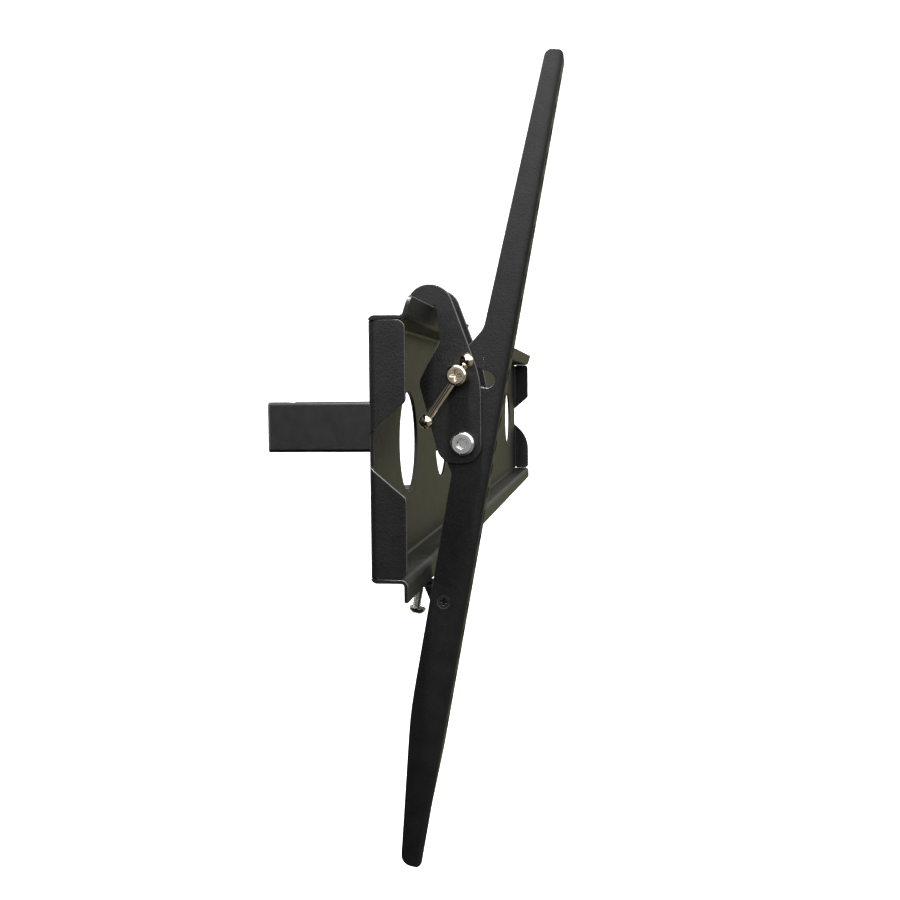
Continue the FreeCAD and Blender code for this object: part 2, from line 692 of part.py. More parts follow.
def friction_washer(start):
    bore = TILT_BOLT + 2 * RUNNING_FIT
    return tube(FRICTION_WASHER_OUTER, bore, Vector(start, PIVOT_Y, 0), AXIS_X, FRICTION_WASHER)


def pivot_spacer():
    start = SIDE_FAR + FRICTION_WASHER + 2 * FACE_GAP
    return tube(
        SPACER_OUTER, TILT_BOLT + 2 * RUNNING_FIT, Vector(start, PIVOT_Y, 0), AXIS_X, HOOK_FAR_IN - start
    )


def clamp_nut():
    bore = CLAMP_BOLT + 2 * RUNNING_FIT
    return hexagon_nut(CLAMP_NUT_FLATS, bore, Vector(HOOK_FAR, CLAMP_Y, CLAMP_Z), AXIS_X, CLAMP_NUT_HEIGHT)


# Screen bracket, drawn upright about the tilt pivot and then leaned to its resting tilt
def screen_side_outline():
    face = SCREEN_FACE
    corners = [
        (face, SCREEN_TOP, SCREEN_CORNER),
        (face + SCREEN_TOP_WIDTH, SCREEN_TOP, 4.5),
        (face + SCREEN_NECK_WIDTH, SCREEN_NECK_UP, 12.0),
        (PIVOT_Y + SCREEN_EAR_OUT, CLAMP_RADIUS - SCREEN_EAR_DOWN, 5.0),
        (PIVOT_Y + HOOK_EYE, TILT_BOLT * 1.6, 8.0),
        (PIVOT_Y + HOOK_EYE, -TILT_BOLT * 0.7, 7.0),
        (SCREEN_BACK_EDGE, -TILT_BOLT * 2.1, 6.0),
        (SCREEN_BACK_EDGE, -SCREEN_TAPER_DOWN, SCREEN_TAPER_RADIUS),
        (face + SCREEN_END_WIDTH, -SCREEN_BOTTOM, 6.0),
        (face, -SCREEN_BOTTOM, SCREEN_CORNER),
    ]
    return rounded_face(corners, in_yz(SIDE_NEAR - SCREEN_FLANGE))


def screen_flange_outline():
    """The flange seen from the screen: full width to its lower end, then a run-out into the side plate."""
    edge = SIDE_NEAR + SCREEN_FLANGE
    plain = SIDE_FAR + SCREEN_BEND
    corners = [
        (SIDE_NEAR - SCREEN_SHEET, SCREEN_TOP, 0),
        (edge, SCREEN_TOP, 4.0),
        (edge, -FLANGE_END_DOWN, 20.0),
        (plain, -FLANGE_END_DOWN - FLANGE_RUNOUT, 6.0),
        (plain, -SCREEN_BOTTOM, 0),
        (SIDE_NEAR - SCREEN_SHEET, -SCREEN_BOTTOM, 0),
    ]
    return rounded_face(corners, in_xz(SCREEN_FACE - SCREEN_SHEET))


def screen_slot_heights():
    top = SCREEN_TOP - SLOT_TOP_MARGIN
    count = int((top + FLANGE_END_DOWN - SLOT_END_MARGIN) // SLOT_PITCH) + 1
    return [top - index * SLOT_PITCH for index in range(count)]


def screen_slots():
    x = SIDE_NEAR + SLOT_LINE
    half_width = SLOT_WIDTH / 2
    half_length = SLOT_LENGTH / 2
    slots = []
    for height in screen_slot_heights():
        corners = [
            (x - half_width, height - half_length, half_width * 0.98),
            (x + half_width, height - half_length, half_width * 0.98),
            (x + half_width, height + half_length, half_width * 0.98),
            (x - half_width, height + half_length, half_width * 0.98),
        ]
        slots.append(rounded_face(corners, in_xz(SCREEN_FACE)).extrude(AXIS_Y * SCREEN_SHEET))
    return Part.makeCompound(slots)


def arc_slot():
    """The tilt slot for the clamp screw, an arc about the tilt pivot, in the upright bracket."""
    half = ARC_SLOT_WIDTH / 2
    first = math.radians(90 - REST_TILT - ARC_SLOT_WALL_SIDE)
    last = math.radians(90 - REST_TILT + ARC_SLOT_SCREEN_SIDE)

    def at(radius, angle):
        return Vector(SIDE_NEAR, PIVOT_Y + radius * math.cos(angle), radius * math.sin(angle))

    middle = (first + last) / 2
    inner = CLAMP_RADIUS - half
    outer = CLAMP_RADIUS + half
    cap = half / CLAMP_RADIUS
    edges = [
        Part.Arc(at(outer, first), at(outer, middle), at(outer, last)).toShape(),
        Part.Arc(at(outer, last), at(CLAMP_RADIUS, last + cap), at(inner, last)).toShape(),
        Part.Arc(at(inner, last), at(inner, middle), at(inner, first)).toShape(),
        Part.Arc(at(inner, first), at(CLAMP_RADIUS, first - cap), at(outer, first)).toShape(),
    ]
    return Part.Face(Part.Wire(edges)).extrude(AXIS_X * SCREEN_SHEET)


def clip_screw_place():
    return Vector(SIDE_NEAR, SCREEN_FACE + SCREEN_LOWER_WIDTH * 0.62, -CLIP_DOWN - CLIP_SCREW_UP)


def tv_bracket():
    deep = 4 * SCREEN_LOWER_WIDTH
    inset = SCREEN_SHEET / 2
    section = folded_face(
        [
            (SIDE_NEAR + SCREEN_FLANGE, SCREEN_FACE + inset),
            (SIDE_NEAR + inset, SCREEN_FACE + inset),
            (SIDE_NEAR + inset, SCREEN_FACE + deep),
        ],
        SCREEN_SHEET,
        SCREEN_BEND,
        in_xy(-SCREEN_BOTTOM),
    )
    body = section.extrude(AXIS_Z * (SCREEN_TOP + SCREEN_BOTTOM))
    body = body.common(screen_side_outline().extrude(AXIS_X * 3 * SCREEN_FLANGE))
    body = body.common(screen_flange_outline().extrude(AXIS_Y * (deep + 2 * SCREEN_SHEET)))
    body = body.cut(screen_slots()).cut(arc_slot())
    tilt_hole = TILT_BOLT + 2 * RUNNING_FIT
    body = body.cut(rod(tilt_hole, Vector(SIDE_NEAR, PIVOT_Y, 0), AXIS_X, SCREEN_SHEET))
    return tilted(body.cut(countersunk(clip_screw_place(), SCREEN_SHEET)))


def countersunk(seat, length):
    """A countersunk screw's outline, its flat head flush with the seat and its shank along X."""
    head = CLIP_SCREW_HEAD / 2
    shank = CLIP_SCREW / 2
    profile = [(0, 0), (head, 0), (shank, head - shank), (shank, length), (0, length)]
    return turned(profile, seat, AXIS_X)


# Safety clip: an angle on the bracket's inner face whose tab reaches under the bottom lip
def safety_clip():
    tab_end = SCREEN_BACK_EDGE + SECURITY_PAST_EDGE + CLIP_TAB_PAST
    front = SCREEN_FACE + SCREEN_SHEET + SCREEN_BEND + CLIP_LEG_INSET
    inset = CLIP_SHEET / 2
    section = folded_face(
        [
            (SIDE_FAR + CLIP_TAB, -CLIP_DOWN - inset),
            (SIDE_FAR + inset, -CLIP_DOWN - inset),
            (SIDE_FAR + inset, -CLIP_DOWN - CLIP_LEG),
        ],
        CLIP_SHEET,
        CLIP_BEND,
        in_xz(front),
    )
    body = section.extrude(AXIS_Y * (tab_end - front))
    low = -CLIP_DOWN - CLIP_LEG
    outline = [
        (front, low, CLIP_LEG_INSET),
        (SCREEN_BACK_EDGE - CLIP_LEG_INSET, low, CLIP_LEG_INSET),
        (SCREEN_BACK_EDGE - CLIP_LEG_INSET, -CLIP_DOWN - CLIP_GUSSET_DROP, CLIP_LEG_INSET),
        (SCREEN_BACK_EDGE + CLIP_GUSSET_OUT, -CLIP_DOWN - CLIP_SHEET - CLIP_BEND, CLIP_LEG_INSET),
        (tab_end, -CLIP_DOWN - CLIP_SHEET - CLIP_BEND, 0),
        (tab_end, -CLIP_DOWN, 0),
        (front, -CLIP_DOWN, 0),
    ]
    body = body.common(rounded_face(outline, in_yz(SIDE_FAR)).extrude(AXIS_X * CLIP_TAB))
    hole = rod(CLIP_SCREW, clip_screw_place(), AXIS_X, SCREEN_SHEET + CLIP_SHEET)
    thread = rod(SECURITY_SCREW, security_axis(-CLIP_DOWN - CLIP_SHEET), AXIS_Z, CLIP_SHEET)
    return tilted(body.cut(hole).cut(thread))


def clip_screw():
    length = SCREEN_SHEET + CLIP_SHEET + CLIP_NUT_HEIGHT + CLIP_SCREW * 0.2
    recess = cross_recess(clip_screw_place(), AXIS_X, CLIP_CROSS_LENGTH)
    return tilted(countersunk(clip_screw_place(), length).cut(recess))


def clip_nut():
    seat = clip_screw_place() + AXIS_X * (SCREEN_SHEET + CLIP_SHEET)
    return tilted(hexagon_nut(CLIP_NUT_FLATS, CLIP_SCREW, seat, AXIS_X, CLIP_NUT_HEIGHT))


def security_axis(height):
    return Vector(SIDE_FAR + CLIP_TAB / 2, SCREEN_BACK_EDGE + SECURITY_PAST_EDGE, height)


def security_screw():
    head = SECURITY_HEAD / 2
    shank = SECURITY_SCREW / 2
    crown = SECURITY_HEAD_HEIGHT
    tip = SECURITY_REACH + SECURITY_TIP
    profile = [
        (0, -crown),
        (head * 0.55, -crown),
        (head * 0.9, -crown * 0.6),
        (head, -crown * 0.2),
        (head, 0),
        (shank, 0),
        (shank, tip - shank * 0.3),
        (shank * 0.7, tip),
        (0, tip),
    ]
    seat = security_axis(-CLIP_DOWN - SECURITY_REACH)
    recess = cross_recess(seat - AXIS_Z * crown, AXIS_Z, CROSS_LENGTH)
    return tilted(turned(profile, seat, AXIS_Z).cut(recess))


# Clamp screw and sliding bar
def clamp_screw():
    head_front = HOOK_NEAR - CLAMP_HEAD_GAP - CLAMP_HEAD_LENGTH
    length = CLAMP_HEAD_GAP + HOOK_WIDTH + CLAMP_NUT_HEIGHT + CLAMP_BOLT / 2
    head = CLAMP_HEAD / 2
    shank = CLAMP_BOLT / 2
    edge = CLAMP_HEAD * 0.08
    profile = [
        (0, 0),
        (head - edge, 0),
        (head, edge),
        (head, CLAMP_HEAD_LENGTH),
        (shank, CLAMP_HEAD_LENGTH),
        (shank, CLAMP_HEAD_LENGTH + length),
        (0, CLAMP_HEAD_LENGTH + length),
    ]
    start = Vector(head_front, CLAMP_Y, CLAMP_Z)
    body = turned(profile, start, AXIS_X).cut(cross_recess(start, AXIS_X, CROSS_LENGTH))
    middle = Vector(BAR_X, CLAMP_Y, CLAMP_Z)
    return body.cut(rod(BAR + 2 * BAR_FIT, middle - BAR_UP * CLAMP_HEAD, BAR_UP, 2 * CLAMP_HEAD))


def bar_ball_centre(end):
    """The ball centre at the stop beside the head (end 0) or at the far end of the bar (end 1)."""
    middle = Vector(BAR_X, CLAMP_Y, CLAMP_Z)
    return middle + BAR_UP * (BAR_STOP - end * BAR_LENGTH)


def tommy_bar():
    low = bar_ball_centre(1)
    ball = Part.makeSphere(BAR_BALL / 2, low)
    return rod(BAR, low, BAR_UP, BAR_LENGTH).fuse(ball).removeSplitter()


def tommy_bar_end_ball():
    high = bar_ball_centre(0)
    ball = Part.makeSphere(BAR_BALL / 2, high)
    return ball.cut(rod(BAR, high - BAR_UP * BAR_BALL, BAR_UP, BAR_BALL))


PIECES = {
    "arm_tube": arm_tube(),
    "wall_pivot_sleeve": wall_pivot_sleeve(),
    "arm_end_cap": arm_end_cap(),
    "swivel_post": swivel_post(),
    "upper_swivel_bush": swivel_bush(1),
    "lower_swivel_bush": swivel_bush(-1),
    "faceplate": faceplate(),
    "near_rear_stiffener": rear_stiffener(-1),
    "far_rear_stiffener": rear_stiffener(1),
    "swivel_yoke": swivel_yoke(),
    "yoke_bolts": yoke_bolts(),
    "yoke_nuts": yoke_nuts(),
    "swivel_bolt": swivel_bolt(),
    "swivel_washers": swivel_washers(),
    "swivel_nut": swivel_nut(),
    "hook_bracket": hook_bracket(),
    "tilt_pivot_bolt": tilt_pivot_bolt(),
    "pivot_nut_washer": pivot_nut_washer(),
    "pivot_nut": pivot_nut(),
    "pivot_spacer": pivot_spacer(),
    "near_friction_washer": friction_washer(HOOK_NEAR_IN + FACE_GAP),
    "far_friction_washer": friction_washer(SIDE_FAR + FACE_GAP),
    "clamp_nut": clamp_nut(),
    "tv_bracket": tv_bracket(),
    "safety_clip": safety_clip(),
    "clip_screw": clip_screw(),
    "clip_nut": clip_nut(),
    "security_screw": security_screw(),
    "clamp_screw": clamp_screw(),
    "tommy_bar": tommy_bar(),
    "tommy_bar_end_ball": tommy_bar_end_ball(),
}

os.makedirs("parts", exist_ok=True)
for name, shape in PIECES.items():
    if not shape.isValid():
        print("not valid:", name)
    print(name, "solids", len(shape.Solids), "volume", round(shape.Volume))
    shape.exportStep("parts/" + name + ".step")
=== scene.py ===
# %% [markdown]
# # A swivelling screen mount
# This lesson dresses a wall mount for a flat screen. Its pieces come ready-made and at their real
# size, in metres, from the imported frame. Blender gives them soft edges, threads and finishes, and
# never moves them.

import json
import math

import bmesh
import bpy
from mathutils import Matrix, Quaternion, Vector


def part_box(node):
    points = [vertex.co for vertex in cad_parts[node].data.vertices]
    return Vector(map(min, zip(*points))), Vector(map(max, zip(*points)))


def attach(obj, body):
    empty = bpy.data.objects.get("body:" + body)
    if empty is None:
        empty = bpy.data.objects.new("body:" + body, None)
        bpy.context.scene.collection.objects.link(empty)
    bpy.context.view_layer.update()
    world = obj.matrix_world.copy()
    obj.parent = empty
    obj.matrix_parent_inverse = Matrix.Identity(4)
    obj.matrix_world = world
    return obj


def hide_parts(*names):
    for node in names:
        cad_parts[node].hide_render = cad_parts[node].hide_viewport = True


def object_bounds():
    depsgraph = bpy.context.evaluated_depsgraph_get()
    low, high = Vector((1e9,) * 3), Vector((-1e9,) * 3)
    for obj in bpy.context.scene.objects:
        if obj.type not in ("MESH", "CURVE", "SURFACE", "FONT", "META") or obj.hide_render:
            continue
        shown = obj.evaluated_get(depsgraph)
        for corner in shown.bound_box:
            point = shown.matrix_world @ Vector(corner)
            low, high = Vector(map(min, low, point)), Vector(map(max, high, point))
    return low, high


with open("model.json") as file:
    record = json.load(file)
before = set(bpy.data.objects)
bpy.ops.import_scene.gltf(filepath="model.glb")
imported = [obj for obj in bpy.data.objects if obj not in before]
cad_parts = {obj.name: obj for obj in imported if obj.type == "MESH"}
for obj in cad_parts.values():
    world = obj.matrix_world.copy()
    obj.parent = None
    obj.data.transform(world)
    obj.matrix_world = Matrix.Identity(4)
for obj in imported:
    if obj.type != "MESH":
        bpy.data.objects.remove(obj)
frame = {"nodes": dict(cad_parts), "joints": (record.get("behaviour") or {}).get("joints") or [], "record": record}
cad_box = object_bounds()
MM = 0.001
record = frame["record"]
body_of = {node: body for body, nodes in record["behaviour"]["bodies"].items() for node in nodes}
slot_of = {part["node"]: part["material_slot"] for part in record["subparts"]}
joint_of = {joint["name"]: joint for joint in frame["joints"]}

# %% [markdown]
# ## The camera
# The mount is seen almost end-on, from just past the near end of its faceplate. Lines along the
# plate run to one point of the picture, and that point gives the height and side of the lens. The
# camera sits at that place and turns a little towards the wall and down, which keeps the whole
# bracket in the picture without any lens shift. A roll of half a degree is left in, as in a picture
# taken by hand.

# %% Camera at the picture's viewpoint
LENS_BEFORE_PLATE = 510.2 * MM
LENS_TO_SCREEN_SIDE = 74.33 * MM
LENS_ABOVE_PIVOT = 24.87 * MM
TURN_TO_WALL = math.radians(7.967)
TURN_DOWN = math.radians(2.758)
ROLL = math.radians(-0.534)
SENSOR_WIDTH_IN_MM = 36.0
FOCAL_LENGTH_IN_MM = 44.862
CLIP_START = 0.01

plate_low, plate_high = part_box("faceplate")
tilt_pivot = Vector(joint_of["screen_tilt"]["pos_m"])
looking = Vector((math.cos(TURN_TO_WALL), math.sin(TURN_TO_WALL), -math.tan(TURN_DOWN)))
level = looking.to_track_quat("-Z", "Y")
camera_data = bpy.data.cameras.new("picture_view")
camera_data.sensor_width = SENSOR_WIDTH_IN_MM
camera_data.lens = FOCAL_LENGTH_IN_MM
camera_data.clip_start = CLIP_START
camera = bpy.data.objects.new("picture_view", camera_data)
camera.location = (
    plate_low.x - LENS_BEFORE_PLATE,
    tilt_pivot.y - LENS_TO_SCREEN_SIDE,
    tilt_pivot.z + LENS_ABOVE_PIVOT,
)
camera.rotation_euler = (level @ Quaternion((0, 0, 1), ROLL)).to_euler()
bpy.context.scene.collection.objects.link(camera)
bpy.context.scene.camera = camera
print("camera at", [round(value, 3) for value in camera.location])

# %% [markdown]
# ## A class for shader maths
# A finish is a small formula over the surface: some grain, plus a little variation, times a
# strength. Adding each node by hand hides that formula. Here one class wraps a node's output and
# overloads the operators, so that `1 - mask` adds its own Math node, and one function makes every
# other kind of node.


# %% Shader maths
class Value:
    """One output in a node tree. Arithmetic on it adds Math nodes."""

    def __init__(self, tree, output):
        self.tree = tree
        self.output = output

    def math(self, operation, first, second):
        return add_node(self.tree, "ShaderNodeMath", {"operation": operation}, {0: first, 1: second})

    def __add__(self, other):
        return self.math("ADD", self, other)

    def __radd__(self, other):
        return self.math("ADD", other, self)

    def __sub__(self, other):
        return self.math("SUBTRACT", self, other)

    def __rsub__(self, other):
        return self.math("SUBTRACT", other, self)

    def __mul__(self, other):
        return self.math("MULTIPLY", self, other)

    def __rmul__(self, other):
        return self.math("MULTIPLY", other, self)

    def __truediv__(self, other):
        return self.math("DIVIDE", self, other)


def feed(tree, node, sockets):
    """Set the sockets of a node, or link them where the value is another node's output."""
    for key, value in sockets.items():
        if isinstance(value, Value):
            tree.links.new(value.output, node.inputs[key])
        else:
            node.inputs[key].default_value = value


def add_node(tree, kind, settings, sockets, output=0):
    """A node of one kind, with its settings made first and then its sockets set or linked."""
    node = tree.nodes.new(kind)
    for name, value in settings.items():
        setattr(node, name, value)
    feed(tree, node, sockets)
    return Value(tree, node.outputs[output])


NOISE_ROUGHNESS = 0.55


def noise(tree, place, size, detail):
    """Cloudy noise from 0 to 1 whose blobs are about the given size in metres."""
    sockets = {"Vector": place, "Scale": 1.0 / size, "Detail": detail, "Roughness": NOISE_ROUGHNESS}
    return add_node(tree, "ShaderNodeTexNoise", {}, sockets)


# A Mix node has a set of sockets for each type of data. These are the ones for colours.
MIX_SHARE = 0
MIX_FIRST = 6
MIX_SECOND = 7
MIX_RESULT = 2


def mixed(tree, share, first, second):
    """A colour between two colours."""
    sockets = {MIX_SHARE: share, MIX_FIRST: first, MIX_SECOND: second}
    return add_node(tree, "ShaderNodeMix", {"data_type": "RGBA"}, sockets, MIX_RESULT)


def bumped(tree, strength, distance, height):
    """A normal tilted by a height."""
    sockets = {"Strength": strength, "Distance": distance, "Height": height}
    return add_node(tree, "ShaderNodeBump", {}, sockets)


def new_finish(name):
    """A material with its tree and its shader node."""
    material = bpy.data.materials.new(name)
    material.use_nodes = True
    tree = material.node_tree
    shader = next(node for node in tree.nodes if node.type == "BSDF_PRINCIPLED")
    return material, tree, shader


def own_place(tree):
    """The object's own coordinates, so that a finish moves with its piece."""
    return add_node(tree, "ShaderNodeTexCoord", {}, {}, "Object")


# %% [markdown]
# ## The powder coat
# The folded sheets and the arm are coated in satin black powder, baked on. Up close it has a fine,
# even orange-peel grain, and its sheen varies a little where the powder lies thicker. One noise
# makes the grain as a bump, broader ones move the roughness and the colour slightly. On sharp edges
# the powder pulls thin, and the edge gets a paler twin: the paler colour is partly the thinner
# powder and partly a painted highlight along the edge.

# %% Powder coat and its paler edges, thin powder and painted highlight
GRAIN = 0.7 * MM
SPECK = 2.5 * GRAIN
FLOW = 9 * MM
GRAIN_STRENGTH = 0.8
GRAIN_DEPTH = 0.13 * MM
FLOW_IN_BUMP = 0.6
FLOW_IN_SHEEN = 0.12
GRAIN_IN_SHEEN = 0.05
COAT_SPECULAR = 0.34


def powder_coat(name, dark, pale, roughness):
    material, tree, shader = new_finish(name)
    place = own_place(tree)
    grain = noise(tree, place, GRAIN, detail=2.0)
    flow = noise(tree, place, FLOW, detail=3.0)
    speck = noise(tree, place, SPECK, detail=4.0)
    sockets = {
        "Base Color": mixed(tree, 0.5 * speck + 0.5 * flow, dark, pale),
        "Roughness": roughness + FLOW_IN_SHEEN * flow - GRAIN_IN_SHEEN * grain,
        "Normal": bumped(tree, GRAIN_STRENGTH, GRAIN_DEPTH, grain + FLOW_IN_BUMP * flow),
        "Specular IOR Level": COAT_SPECULAR,
    }
    feed(tree, shader, sockets)
    return material


coat = powder_coat(
    "powder_coat", dark=(0.0014, 0.0014, 0.0016, 1), pale=(0.0088, 0.0088, 0.0091, 1), roughness=0.32
)
# The edge twin is paler partly because the powder is thinner there and partly as a painted highlight along every
# rounded edge.
thin_coat_and_painted_highlight = powder_coat(
    "powder_coat_edge_painted_highlight", dark=(0.018, 0.018, 0.018, 1), pale=(0.045, 0.0445, 0.042, 1), roughness=0.42
)
print("finishes:", coat.name, thin_coat_and_painted_highlight.name)

# %% [markdown]
# ## The plated steel
# Nuts, washers and the tilt bolt are bright zinc, cool and slightly cloudy. The clamp screw and its
# bar are nickel, warmer and more polished, and the security screw is a duller, whiter nickel. All
# are metals, so nearly all their look is reflection: the maths only clouds the roughness and adds
# faint marks from the die or the lathe.

# %% Plated steel
CLOUD = 3 * MM
MARK_STRENGTH = 0.12
MARK_DEPTH = 0.03 * MM


def plated(name, clear, cloudy, roughness, haze, mark):
    """Metal between two colours, rougher by the haze where it is cloudy, with marks of one size."""
    material, tree, shader = new_finish(name)
    place = own_place(tree)
    cloud = noise(tree, place, CLOUD, detail=3.0)
    marks = noise(tree, place, mark, detail=1.0)
    sockets = {
        "Base Color": mixed(tree, cloud, clear, cloudy),
        "Roughness": roughness + haze * cloud,
        "Normal": bumped(tree, MARK_STRENGTH, MARK_DEPTH, marks),
        "Metallic": 1.0,
    }
    feed(tree, shader, sockets)
    return material


zinc = plated(
    "zinc_steel",
    clear=(0.93, 0.93, 0.94, 1),
    cloudy=(0.76, 0.77, 0.78, 1),
    roughness=0.12,
    haze=0.16,
    mark=0.25 * MM,
)
nickel = plated(
    "nickel",
    clear=(0.95, 0.85, 0.69, 1),
    cloudy=(0.80, 0.70, 0.54, 1),
    roughness=0.05,
    haze=0.05,
    mark=0.4 * MM,
)
dull_nickel = plated(
    "dull_nickel",
    clear=(0.52, 0.52, 0.51, 1),
    cloudy=(0.36, 0.36, 0.35, 1),
    roughness=0.16,
    haze=0.16,
    mark=0.2 * MM,
)
print("finishes:", zinc.name, nickel.name, dull_nickel.name)

# %% [markdown]
# ## Moulded black and black oxide
# The end cap, bushes and friction washers are moulded nylon with a dull spark-eroded grain. The
# countersunk and coach-headed screws are steel blackened in a hot bath, which leaves a thin,
# slightly glossy skin over the metal.

# %% Nylon and black oxide
NYLON_GRAIN = 0.3 * MM
NYLON_DARK = (0.008, 0.008, 0.008, 1)
NYLON_PALE = (0.020, 0.020, 0.020, 1)
OXIDE_CLOUD = 1.2 * MM
OXIDE_DARK = (0.008, 0.008, 0.0085, 1)
OXIDE_PALE = (0.022, 0.022, 0.023, 1)


def moulded_nylon():
    material, tree, shader = new_finish("black_plastic")
    grain = noise(tree, own_place(tree), NYLON_GRAIN, detail=3.0)
    sockets = {
        "Base Color": mixed(tree, grain, NYLON_DARK, NYLON_PALE),
        "Roughness": 0.52 + 0.15 * grain,
        "Normal": bumped(tree, strength=0.4, distance=0.05 * MM, height=grain),
    }
    feed(tree, shader, sockets)
    return material


def black_oxide():
    material, tree, shader = new_finish("black_screw")
    cloud = noise(tree, own_place(tree), OXIDE_CLOUD, detail=3.0)
    sockets = {
        "Base Color": mixed(tree, cloud, OXIDE_DARK, OXIDE_PALE),
        "Roughness": 0.30 + 0.15 * cloud,
        "Metallic": 0.45,
    }
    feed(tree, shader, sockets)
    return material


nylon = moulded_nylon()
oxide = black_oxide()
# The finish of the faces and of the rounded edges, by slot or, for one screw, by node.
finish_of = {
    "powder_coat": (coat, thin_coat_and_painted_highlight),
    "zinc_steel": (zinc, zinc),
    "nickel": (nickel, nickel),
    "black_plastic": (nylon, nylon),
    "black_screw": (oxide, oxide),
    "security_screw": (dull_nickel, dull_nickel),
}
print("finishes for slots and nodes:", sorted(finish_of))

# %% [markdown]
# ## Softened edges
# A sheared or punched sheet never has a perfect knife edge: deburring and the coat round it by a
# few tenths of a millimetre, and that round is what catches the light. The solids have sharp edges,
# so each visible piece is a copy of its solid with a Bevel on every sharp edge. The copy is first
# welded together and its flat triangles merged, because a bevel needs whole faces to work on.
# Normals weighted by face size then keep each flat sheet flat right up to its rounded edge. The
# reliefs at the faceplate's corners are narrower than a round, so they stay sharp. The copy stands
# for the solid.

# %% Softened copies
FLAT = math.radians(0.4)
SHARP = math.radians(33)
WELD = 0.002 * MM
CUT_SNAP = 0.001 * MM
BEVEL_STEPS = 2
FACES_ONLY = 100


def merged_mesh(node, cuts):
    """A welded copy of a node's mesh, flat triangles merged and cut off past each plane."""
    mesh = frame["nodes"][node].data.copy()
    work = bmesh.new()
    work.from_mesh(mesh)
    bmesh.ops.remove_doubles(work, verts=work.verts, dist=WELD)
    for point, direction in cuts:
        everything = work.verts[:] + work.edges[:] + work.faces[:]
        cut = bmesh.ops.bisect_plane(
            work, geom=everything, plane_co=point, plane_no=direction, clear_outer=True, dist=CUT_SNAP
        )
        rim = [item for item in cut["geom_cut"] if isinstance(item, bmesh.types.BMEdge)]
        bmesh.ops.holes_fill(work, edges=rim, sides=0)
    bmesh.ops.dissolve_limit(
        work, angle_limit=FLAT, verts=work.verts, edges=work.edges, delimit={"NORMAL"}
    )
    work.to_mesh(mesh)
    work.free()
    smooth_but_sharp(mesh)
    return mesh


def smooth_but_sharp(mesh):
    """Smooth shading that breaks at sharp edges."""
    mesh.shade_smooth()
    mesh.set_sharp_from_angle(angle=SHARP)


def baked(piece):
    """Replace a piece's mesh by its evaluated one and drop its modifiers."""
    graph = bpy.context.evaluated_depsgraph_get()
    mesh = bpy.data.meshes.new_from_object(piece.evaluated_get(graph))
    piece.modifiers.clear()
    piece.data = mesh
    return piece


def flat_shaded(piece):
    """Let large faces set the normals of the edges around them."""
    weighting = piece.modifiers.new("face weighted normals", "WEIGHTED_NORMAL")
    weighting.weight = FACES_ONLY
    weighting.keep_sharp = True
    return baked(piece)


def inside(point, box):
    low, high = box
    return all(low[axis] <= point[axis] <= high[axis] for axis in range(3))


def weigh_edges(mesh, keep_sharp):
    """Mark every sharp edge for rounding, apart from those inside the boxes that stay sharp."""
    work = bmesh.new()
    work.from_mesh(mesh)
    weights = []
    for edge in work.edges:
        kept = any(all(inside(corner.co, box) for corner in edge.verts) for box in keep_sharp)
        sharp = edge.is_manifold and edge.calc_face_angle() > SHARP
        weights.append(float(sharp and not kept))
    work.free()
    mesh.attributes.new("bevel_weight_edge", "FLOAT", "EDGE").data.foreach_set("value", weights)


def softened(node, width, cuts=(), keep_sharp=()):
    """A copy of a node with its sharp edges rounded by the given width."""
    mesh = merged_mesh(node, cuts)
    weigh_edges(mesh, keep_sharp)
    finish, edge_finish = finish_of.get(node, finish_of[slot_of[node]])
    mesh.materials.clear()
    mesh.materials.append(finish)
    mesh.materials.append(edge_finish)
    mesh.polygons.foreach_set("material_index", [0] * len(mesh.polygons))
    piece = bpy.data.objects.new("soft_" + node, mesh)
    bpy.context.scene.collection.objects.link(piece)
    bevel = piece.modifiers.new("softened edges", "BEVEL")
    bevel.width = width
    bevel.segments = BEVEL_STEPS
    bevel.limit_method = "WEIGHT"
    bevel.use_clamp_overlap = False
    # The rounded faces take the edge finish; on the powder coat its paler colour is partly thin powder, partly a
    # painted highlight.
    bevel.material = 1
    return flat_shaded(baked(piece))


def stand_for(piece, node):
    """The piece rides on the node's body and replaces it."""
    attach(piece, body_of[node])
    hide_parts(node)


FACEPLATE_ROUND = 0.35 * MM
FLANGE_AT = 62.5 * MM
RELIEF = 6 * MM
relief_reach = Vector((RELIEF, RELIEF, RELIEF))
relief_boxes = []
for end in (plate_low.x, plate_high.x):
    for flange in (-FLANGE_AT, FLANGE_AT):
        corner = Vector((end, plate_high.y, flange))
        relief_boxes.append((corner - relief_reach, corner + relief_reach))
stand_for(softened("faceplate", FACEPLATE_ROUND, keep_sharp=relief_boxes), "faceplate")

EDGE_ROUNDS_IN_MM = {
    "hook_bracket": 0.4,
    "tv_bracket": 0.3,
    "safety_clip": 0.3,
    "swivel_yoke": 0.5,
    "arm_tube": 0.35,
    "arm_end_cap": 0.4,
    "swivel_post": 0.4,
    "near_rear_stiffener": 0.4,
    "far_rear_stiffener": 0.4,
    "wall_pivot_sleeve": 0.3,
    "yoke_nuts": 0.2,
    "swivel_washers": 0.25,
    "swivel_nut": 0.25,
    "pivot_nut_washer": 0.2,
    "pivot_nut": 0.2,
    "clamp_nut": 0.2,
    "clip_nut": 0.15,
}
for node, width in EDGE_ROUNDS_IN_MM.items():
    piece = softened(node, width * MM)
    stand_for(piece, node)
    print("softened", node, len(piece.data.polygons), "faces")

# %% [markdown]
# ## Screw threads
# A thread is a ridge that follows a helix round a core, so it suits Geometry Nodes: a spiral curve,
# a four-sided profile swept along it, and a plain core that hides the profile's inner half. The
# profile shrinks at the end, as a rolled thread runs out. The tree's inputs are the screw's
# diameter, the pitch and the length, and one tree serves every screw.

